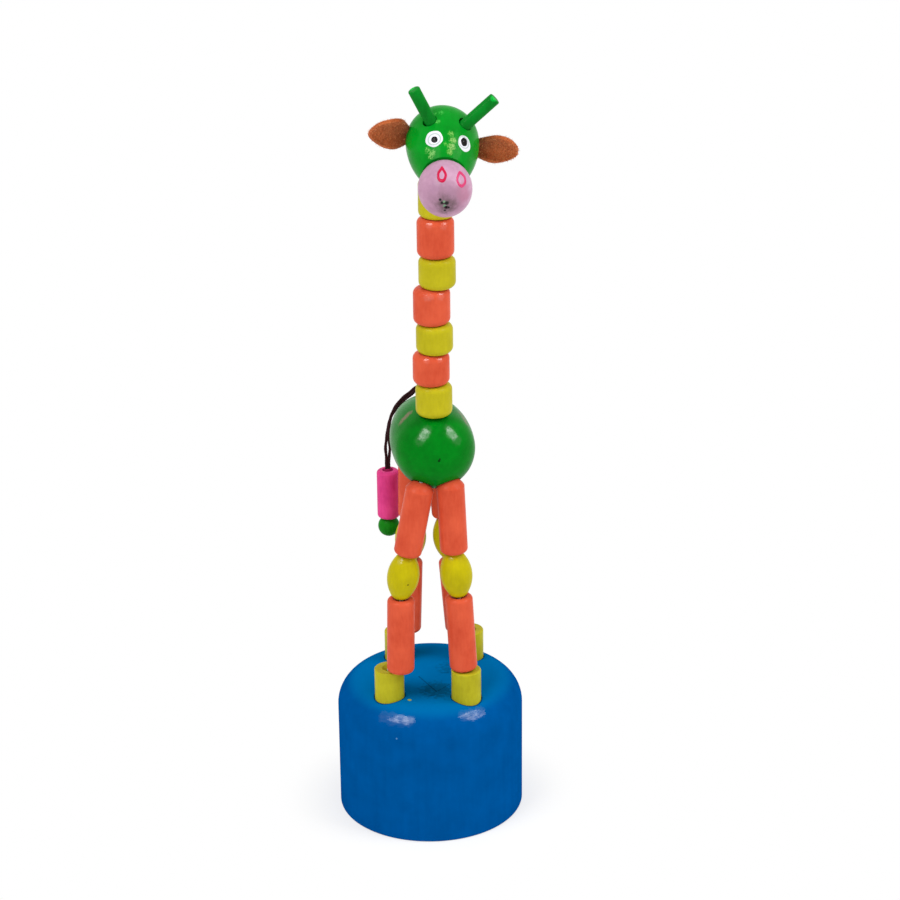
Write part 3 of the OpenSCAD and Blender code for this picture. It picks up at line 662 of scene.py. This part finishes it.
# ---- Head -------------------------------------------------------------------------
# An egg in the same green, with two drilled holes for the horns. Pale primer shows
# through between the eyes, under the left one and by the left horn.
head_skin = skin_of("head")
green_head = painted(
    "green gloss head", (0.0, 0.58, 0.13), (0.0, 0.49, 0.1), rough=0.27, coat=0.06, stretch=(900, 200, 900),
    marks=places(head_skin, (
        (451, 133.5, 1.7, 0.4465, (0.5, 0.74, 0.36)), (453, 140, 2.1, 0.456, (0.55, 0.74, 0.4)),
        (451.5, 146.5, 2.2, 0.475, (0.57, 0.74, 0.42)), (450, 152, 1.8, 0.4275, (0.55, 0.74, 0.38)),
        (446, 144, 1.5, 0.399, (0.4, 0.72, 0.3)), (427.5, 150, 2.0, 0.4275, (0.46, 0.74, 0.38)),
        (432, 153, 2.1, 0.4465, (0.5, 0.75, 0.4)), (430.5, 157, 1.5, 0.4275, (0.5, 0.75, 0.4)),
        (434.5, 114, 1.6, 0.418, (0.26, 0.73, 0.28)), (441, 112.5, 1.8, 0.399, (0.28, 0.74, 0.3)),
        (437.5, 121.5, 1.7, 0.437, (0.34, 0.74, 0.32)), (471, 160, 2.2, 0.285, (0.4, 0.62, 0.32)),
        (409, 160, 3.0, 0.266, (0.3, 0.6, 0.3))), 3600, 0.85))[0]
dress(["head"], green_head)
for name, u, v in (("horn_left", 412, 88.6), ("horn_right", 495.5, 96.5)):
    # The top end is painted a brighter green: painted light on the end face, which looks up
    horn_green_lit_end = painted("green gloss " + name, (0.0, 0.54, 0.14), (0.0, 0.43, 0.1), rough=0.4, coat=0.08,
                         stretch=(1100, 1100, 200), relief=0.00006,
                         marks=places(skin_of(name), [(u, v, 1.5, 0.8, (0.03, 0.74, 0.24), 3000, 0.8)]))[0]
    dress([name], horn_green_lit_end)

# ---- Muzzle -----------------------------------------------------------------------
# A pink bead glued on. Grey shows through the pink, and the paint has chipped round
# the small hole at its tip.
muzzle_skin = skin_of("muzzle")
pink = painted(
    "pink satin", (0.79, 0.62, 0.72), (0.68, 0.51, 0.61), rough=0.45, coat=0.14, stretch=(500, 300, 500),
    marks=places(muzzle_skin, (
        (464, 194, 5.5, 0.6, (0.7, 0.46, 0.56), 600, 0.8, 0.25),
        (445, 198, 8, 0.62, (0.62, 0.47, 0.55), 500, 0.9, 0.3),
        (446, 205, 5.2, 0.6, (0.42, 0.34, 0.36), 800, 0.9, 0.25),
        (430, 198, 3, 0.4, (0.64, 0.5, 0.58), 900, 0.6, 0.2),
        (434, 187, 3.4, 0.4, (0.66, 0.5, 0.61), 1200, 0.6, 0.2),
        (450, 190, 3.4, 0.4, (0.64, 0.48, 0.58), 1200, 0.6, 0.2)))
    + places(muzzle_skin, (
        (440.2, 199.7, 0.6, 0.9, (0.05, 0.12, 0.1)), (442.2, 202.8, 0.75, 0.9, (0.05, 0.1, 0.08)),
        (444.2, 201.6, 0.6, 0.9, (0.5, 0.62, 0.5)), (446.6, 203.1, 0.95, 0.9, (0.04, 0.1, 0.07)),
        (444.6, 205.8, 0.7, 0.9, (0.45, 0.6, 0.48)), (448.4, 207.4, 0.6, 0.9, (0.08, 0.12, 0.1)),
        (444.8, 210.3, 0.5, 0.9, (0.15, 0.15, 0.15))), 2300, 0.95))[0]
dress(["muzzle"], pink)

# ---- Tail -------------------------------------------------------------------------
# Two turned beads in gloss paint: a long magenta one that the cord runs into, and a
# green ball that sits close under it.
dress(["tail_bead"], painted("magenta gloss", (0.89, 0.28, 0.55), (0.78, 0.2, 0.46), rough=0.36)[0])
dress(["tail_ball"], painted("green gloss ball", (0.1, 0.52, 0.09), (0.07, 0.42, 0.07), rough=0.35)[0])

# ---- Eyes -------------------------------------------------------------------------
# Hand-painted: a round white with a soft grey ring in it and a black pupil. A small
# grey dab on the pupil is a painted highlight. The paint stands a hair above the green.
DAB_EDGE, DAB_UNDER = -0.04 * MM, -0.08 * MM  # a dab's rim and underside lie under the skin


def paint_dab(name, paint, skin, at, width, height, lift, tilt=0.0, drop=0.0, seed=0, around=48, inner=0.0):
    """A closed dab of paint on a skin, or a ring of it where inner isn't 0.

    Its place, width and height are those in the picture, and lift is how thick it is, in metres.
    """
    rng = random.Random(seed)
    waves = [(rng.uniform(-0.03, 0.03), rng.uniform(0, 6.28), k) for k in (2, 3, 5)]
    turn, rings = math.radians(tilt), 6

    def lay(t, a, raised):
        t *= 1 + sum(size * math.sin(k * a + start) for size, start, k in waves)
        # drop draws the top out to a point, as in a falling drop
        rise = max(0.0, math.sin(a))
        x = math.cos(a) * width / 2 * t * (1 - 0.4 * drop * rise ** 2)
        y = math.sin(a) * height / 2 * t * (1 + 0.25 * drop * rise ** 8)
        u, v = x * math.cos(turn) - y * math.sin(turn), x * math.sin(turn) + y * math.cos(turn)
        point, normal = seen(skin, at[0] + u, at[1] - v)
        return point + normal * raised

    points, faces = [], []
    ends = [inner + (1 - inner) * i / rings for i in range(0 if inner else 1, rings + 1)]
    for on_top in (True, False):
        for i, t in enumerate(ends):
            at_edge = i == len(ends) - 1 or (inner > 0 and i == 0)
            raised = (DAB_EDGE if at_edge else lift) if on_top else DAB_UNDER
            for k in range(around):
                points.append(lay(t, 2 * math.pi * k / around, raised))
    layer = len(ends) * around
    for i in range(len(ends) - 1):
        for k in range(around):
            a, b = i * around + k, i * around + (k + 1) % around
            faces.append((a, a + around, b + around, b))
            faces.append((layer + a, layer + b, layer + b + around, layer + a + around))
    for k in range(around):
        a, b = (len(ends) - 1) * around + k, (len(ends) - 1) * around + (k + 1) % around
        faces.append((a, layer + a, layer + b, b))
        if inner > 0:
            faces.append((k, (k + 1) % around, layer + (k + 1) % around, layer + k))
    if inner == 0:
        points += [lay(0, 0, lift), lay(0, 0, DAB_UNDER)]
        for k in range(around):
            faces.append((len(points) - 2, k, (k + 1) % around))
            faces.append((len(points) - 1, layer + (k + 1) % around, layer + k))
    obj = link_mesh(name, points, faces)
    work = bmesh.new()
    work.from_mesh(obj.data)
    bmesh.ops.recalc_face_normals(work, faces=work.faces)
    work.to_mesh(obj.data)
    work.free()
    obj.data.materials.append(paint)
    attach(obj, "head")
    return obj


# Radius of the grey ring in the white of an eye, in mm
RING_R = 1.5


def dab_material(name, bright, deep, rough=0.35, ring_at=None):
    """Thin paint from a brush; ring_at is the middle of a soft grey ring in it."""
    material, tree, shader, where = new_material(
        name, Roughness=rough, Specular_IOR_Level=0.1, Coat_Weight=0.03)
    stroke = noise(tree, where, 1100.0, 3.0)
    tone = two_tone(tree, stroke, bright, deep)
    if ring_at:
        off = vector_maths(tree, "DISTANCE", where, ring_at)
        aside_ring = maths(tree, "ABSOLUTE", maths(tree, "SUBTRACT", off, RING_R * MM))
        tone = cover(tree, tone, ramp(tree, aside_ring, 0.26 * MM, 0.05 * MM), colour(0.6, 0.68, 0.64), 0.7)
    put_on(tree, shader, tone, stroke, 0.5, 0.00004)
    return material


eye_white = [dab_material("white eye paint " + word, (0.93, 0.92, 0.95), (0.83, 0.85, 0.88),
                          ring_at=seen(head_skin, u, v)[0])
             for word, u, v in (("left", 434.2, 139.2), ("right", 463.8, 142.3))]
eye_black = dab_material("black eye paint", (0.03, 0.03, 0.03), (0.0, 0.0, 0.0), 0.25)
# Painted highlight: a grey dab on each pupil stands in for a reflection
painted_eye_highlight = dab_material("grey painted eye highlight", (0.34, 0.36, 0.36), (0.24, 0.26, 0.26))
for word, dabs in (
        ("left", (("white", eye_white[0], (434.1, 138.9), 19.6, 16.9, 35, 0.05),
                  ("pupil", eye_black, (434.5, 139.7), 7.4, 7.1, 30, 0.09),
                  ("light", painted_eye_highlight, (434.3, 139.3), 1.2, 1.4, 0, 0.11))),
        ("right", (("white", eye_white[1], (464.3, 143.6), 12.2, 18.6, 22, 0.05),
                   ("pupil", eye_black, (464.0, 142.1), 7.0, 9.8, 14, 0.09),
                   ("light", painted_eye_highlight, (463.5, 141.5), 1.1, 1.6, 0, 0.11)))):
    for seed, (part, paint, at, wide, tall, tilt, lift) in enumerate(dabs):
        dab = paint_dab("eye_%s_%s" % (part, word), paint, head_skin, at, wide, tall, lift * MM, tilt=tilt,
                        seed=seed + len(word), around=40)

# ---- Nostrils ---------------------------------------------------------------------
# Two drops outlined in red with a brush, high on the muzzle, and thicker where the
# brush turned. The left one is darker and fuller than the right one.
nostril_red = dab_material("red nostril paint", (0.7, 0.03, 0.18), (0.8, 0.12, 0.32), 0.4)
nostril_pale = dab_material("thin red nostril paint", (0.76, 0.14, 0.33), (0.84, 0.32, 0.52), 0.4)
for word, paint, at, wide, tall, tilt, inner in (
        ("left", nostril_red, (441.9, 175.2), 10.4, 15.6, 0, 0.47),
        ("right", nostril_pale, (461.2, 179.7), 10.2, 16.2, 8, 0.55)):
    dab = paint_dab("nostril_" + word, paint, muzzle_skin, at, wide, tall, 0.07 * MM, tilt=tilt, drop=0.7,
                    seed=20 + len(word), inner=inner)


# ---- Ears -------------------------------------------------------------------------
# Cut from brown suede, cupped to the front and glued in slots. A nap of short, paler
# fibres stands all over it.
head_mid = Vector((4.8, -7, 183.09)) * MM
head_turn = (Matrix.Rotation(math.radians(1.5), 3, "Z") @ Matrix.Rotation(math.radians(23.5), 3, "X")
             @ Matrix.Rotation(math.radians(9.5), 3, "Y"))
# Upper and lower edge of each ear from its root to its tip: outwards and up from the head's middle, in mm
EAR_EDGES = {
    -1: (((7.8, 1.8), (8.6, 2.4), (10.3, 3.85), (11.6, 4.0), (13.1, 3.55), (15.4, 2.45), (16.8, 1.2),
          (17.6, 0), (17.75, -0.8)),
         ((7.8, -2.5), (8.6, -2.9), (9.8, -3.7), (11.3, -4.6), (12.7, -4.65), (14.3, -4.2), (16, -3.3),
          (17.2, -2.3), (17.7, -1.4), (17.75, -1))),
    1: (((7.9, 0.9), (9.4, 1.4), (10.9, 1.9), (12.3, 2.25), (14.2, 2.15), (16, 1.5), (17.4, 0.5),
         (18.2, -0.5), (18.45, -1.5)),
        ((7.9, -3.4), (8.7, -4.0), (10.3, -4.65), (12, -5.2), (13.5, -5.35), (15, -5.0), (16.4, -4.4),
         (17.7, -3.4), (18.3, -2.4), (18.45, -1.7)))}
# How far a leaf stands behind the head's middle, its thickness and the rounding of its cut, in mm
EAR_BACK, LEATHER, CUT_ROUND = 0.9, 0.9, 0.28


def settled(obj):
    """Puts the result of an object's modifiers in its place as a plain mesh."""
    bpy.context.view_layer.update()
    done = bpy.data.meshes.new_from_object(obj.evaluated_get(bpy.context.evaluated_depsgraph_get()))
    obj.modifiers.clear()
    obj.data = done
    return obj


def ear(side, word):
    """One leaf of leather: a cupped sheet between its two edges, with its thickness and a rounded cut."""
    across, along = 20, 36
    fine = [smooth_path([Vector((x, 0, z)) * MM for x, z in edge], 0.02 * MM) for edge in EAR_EDGES[side]]
    upper, lower = [[line[round(i * (len(line) - 1) / along)] for i in range(along + 1)] for line in fine]
    points, faces = [], []
    for i in range(along + 1):
        u = i / along
        for k in range(across + 1):
            v = -1 + 2 * k / across
            at = lower[i].lerp(upper[i], k / across)
            cup = (-1.3 * v * v * math.sin(math.pi * min(1, u * 0.9 + 0.1))
                   + 0.4 * math.sin(5 * u + 2 * v * (1 - u ** 2)) - 0.9 * u)
            # A point cupped forwards looks lower from the camera, so it is made higher by as much
            points.append(head_mid + head_turn @ Vector((
                side * at.x, (EAR_BACK + cup) * MM, at.z - 1.02 * cup * MM)))
    for i in range(along):
        for k in range(across):
            a = i * (across + 1) + k
            quad = (a, a + 1, a + across + 2, a + across + 1)
            faces.append(quad if side < 0 else quad[::-1])
    obj = link_mesh("ear_suede_" + word, points, faces)
    thick = obj.modifiers.new("leather", "SOLIDIFY")
    thick.thickness, thick.offset = LEATHER * MM, 0.0
    soft = obj.modifiers.new("rounded cut", "BEVEL")
    soft.width, soft.segments, soft.limit_method = CUT_ROUND * MM, 3, "ANGLE"
    return settled(obj)


suede, tree, shader, where = new_material(
    "brown suede", Roughness=0.92, Sheen_Weight=0.1, Specular_IOR_Level=0.1)
nap = noise(tree, where, 2600.0, 4.0, 0.7)
tone = two_tone(tree, noise(tree, where, 330.0, 4.0, 0.6), (0.84, 0.45, 0.24), (0.6, 0.27, 0.13))
tone = cover(tree, tone, ramp(tree, nap, 0.52, 0.75, smooth=False), colour(0.9, 0.6, 0.4), 0.5)
# Darker towards the slot
rooted = ramp(tree, vector_maths(tree, "DISTANCE", where, head_mid), 13 * MM, 8.5 * MM, smooth=False)
tone = cover(tree, tone, rooted, colour(0.24, 0.1, 0.05), 0.75)
put_on(tree, shader, tone, nap, 0.9, 0.00025)


def fibre_tree():
    """Short pointed fibres scattered over a mesh, leaning off its surface."""
    tree = bpy.data.node_groups.new("suede_nap", "GeometryNodeTree")
    for label, kind, default in (("Geometry", "Geometry", None), ("Density", "Float", 1.1e7),
                                 ("Length", "Float", 0.0005), ("Thickness", "Float", 0.00004),
                                 ("Seed", "Int", 1), ("Material", "Material", None)):
        made = tree.interface.new_socket(label, in_out="INPUT", socket_type="NodeSocket" + kind)
        if default is not None:
            made.default_value = default
    tree.interface.new_socket("Geometry", in_out="OUTPUT", socket_type="NodeSocketGeometry")
    given, result = tree.nodes.new("NodeGroupInput").outputs, tree.nodes.new("NodeGroupOutput").inputs
    spots = node(tree, "GeometryNodeDistributePointsOnFaces", Mesh=given["Geometry"], Seed=given["Seed"],
                 Density=given["Density"])
    cone = node(tree, "GeometryNodeMeshCone", Vertices=3, Depth=given["Length"],
                **{"Radius Top": 0, "Radius Bottom": given["Thickness"]})
    tilt = node(tree, "FunctionNodeRandomValue", set_data_type="FLOAT_VECTOR", Seed=given["Seed"],
                i0=(-0.9, -0.9, -3.1), i1=(0.9, 0.9, 3.1))
    leaned = node(tree, "FunctionNodeRotateRotation", set_rotation_space="LOCAL",
                  Rotation=spots.outputs["Rotation"], i1=tilt.outputs[0])
    size = node(tree, "FunctionNodeRandomValue", set_data_type="FLOAT", Seed=given["Seed"], i2=0.5, i3=1.3)
    put = node(tree, "GeometryNodeInstanceOnPoints", Points=spots.outputs["Points"],
               Instance=cone.outputs[0], Rotation=leaned.outputs[0], Scale=size.outputs[1])
    real = node(tree, "GeometryNodeRealizeInstances", Geometry=put.outputs[0])
    worn = node(tree, "GeometryNodeSetMaterial", Geometry=real.outputs[0], Material=given["Material"])
    tree.links.new(worn.outputs[0], result[0])
    return tree


nap_tree = fibre_tree()
nap_brown, tree, shader, where = new_material("suede nap", Roughness=0.9, Specular_IOR_Level=0.1)
share = ramp(tree, noise(tree, where, 1900.0, 2.0), 0.38, 0.62, smooth=False)
tree.links.new(two_tone(tree, share, (0.95, 0.66, 0.46), (0.62, 0.28, 0.13)), shader.inputs["Base Color"])


def fibres(leaf, name, seed):
    """The nap of one ear as a plain mesh."""
    obj = link_mesh(name, [tuple(v.co) for v in leaf.data.vertices],
                    [tuple(p.vertices) for p in leaf.data.polygons])
    grown = obj.modifiers.new("nap", "NODES")
    grown.node_group = nap_tree
    sockets = {item.name: item.identifier for item in nap_tree.interface.items_tree
               if item.in_out == "INPUT"}
    grown[sockets["Seed"]] = seed
    grown[sockets["Material"]] = nap_brown
    return settled(obj)


for side, word in ((-1, "left"), (1, "right")):
    leaf = ear(side, word)
    leaf.data.materials.clear()
    leaf.data.materials.append(suede)
    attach(leaf, "head")
    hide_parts("ear_" + word)
    nap_of_ear = fibres(leaf, "ear_nap_" + word, 5 + side)
    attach(nap_of_ear, "head")
